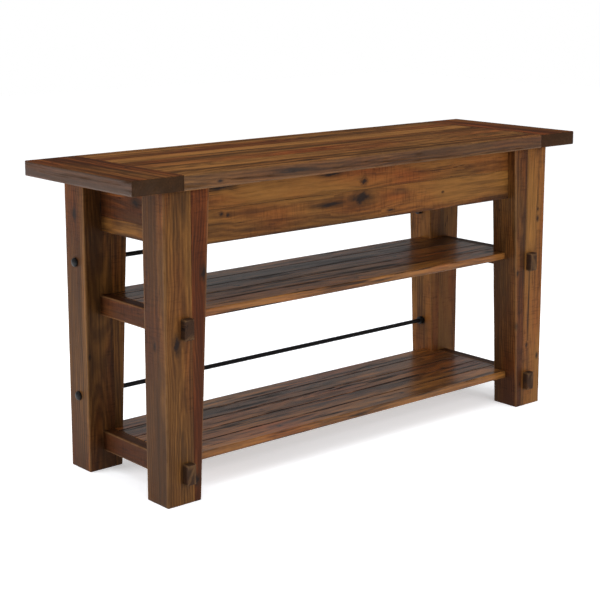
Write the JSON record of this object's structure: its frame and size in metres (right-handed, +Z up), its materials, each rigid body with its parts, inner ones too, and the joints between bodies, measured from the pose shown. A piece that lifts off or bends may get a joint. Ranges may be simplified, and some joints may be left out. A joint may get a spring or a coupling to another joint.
{
  "type": "console table",
  "caption": "Rustic wooden console table: board top, tapered posts, apron frame, two open shelves on through-tenoned rails, iron tie rods.",
  "frame": {"origin": "on the floor under the middle of the top", "axes": "+X along the table to the right, -Y out of the front, +Z up"},
  "size_m": [1.372, 0.414, 0.711],
  "materials": {
    "stained_wood": "dark honey stain with a satin lacquer",
    "plain_wood": "unfinished sawn wood, hidden inside the apron",
    "black_iron": "black semi-matt paint over forged iron",
    "zinc_steel": "zinc-plated"
  },
  "bodies": {
    "root": {"apron_screws": "zinc_steel", "end_apron_corner_blocks": "plain_wood", "front_apron_lower_board": "stained_wood", "front_apron_upper_board": "stained_wood", "left_apron_lower_board": "stained_wood", "left_apron_upper_board": "stained_wood", "leg_front_left_inner_stave": "stained_wood", "leg_front_left_outer_stave": "stained_wood", "leg_front_right_inner_stave": "stained_wood", "leg_front_right_outer_stave": "stained_wood", "leg_rear_left_inner_stave": "stained_wood", "leg_rear_left_outer_stave": "stained_wood", "leg_rear_right_inner_stave": "stained_wood", "leg_rear_right_outer_stave": "stained_wood", "long_apron_corner_blocks": "plain_wood", "lower_rail_left": "stained_wood", "lower_rail_right": "stained_wood", "lower_shelf_board_1": "stained_wood", "lower_shelf_board_2": "stained_wood", "lower_shelf_board_3": "stained_wood", "lower_shelf_board_4": "stained_wood", "lower_shelf_board_5": "stained_wood", "rear_apron_lower_board": "stained_wood", "rear_apron_upper_board": "stained_wood", "right_apron_lower_board": "stained_wood", "right_apron_upper_board": "stained_wood", "tie_rod_cap_nuts": "black_iron", "tie_rod_collars": "black_iron", "tie_rod_lower": "black_iron", "tie_rod_upper": "black_iron", "top_board_1": "stained_wood", "top_board_2": "stained_wood", "top_board_3": "stained_wood", "top_board_4": "stained_wood", "top_board_5": "stained_wood", "top_board_6": "stained_wood", "top_board_7": "stained_wood", "top_end_board_left": "stained_wood", "top_end_board_right": "stained_wood", "top_fixing_blocks": "plain_wood", "top_screws": "zinc_steel", "upper_rail_left": "stained_wood", "upper_rail_right": "stained_wood", "upper_shelf_board_1": "stained_wood", "upper_shelf_board_2": "stained_wood", "upper_shelf_board_3": "stained_wood", "upper_shelf_board_4": "stained_wood", "upper_shelf_board_5": "stained_wood"}
  },
  "joints": []
}
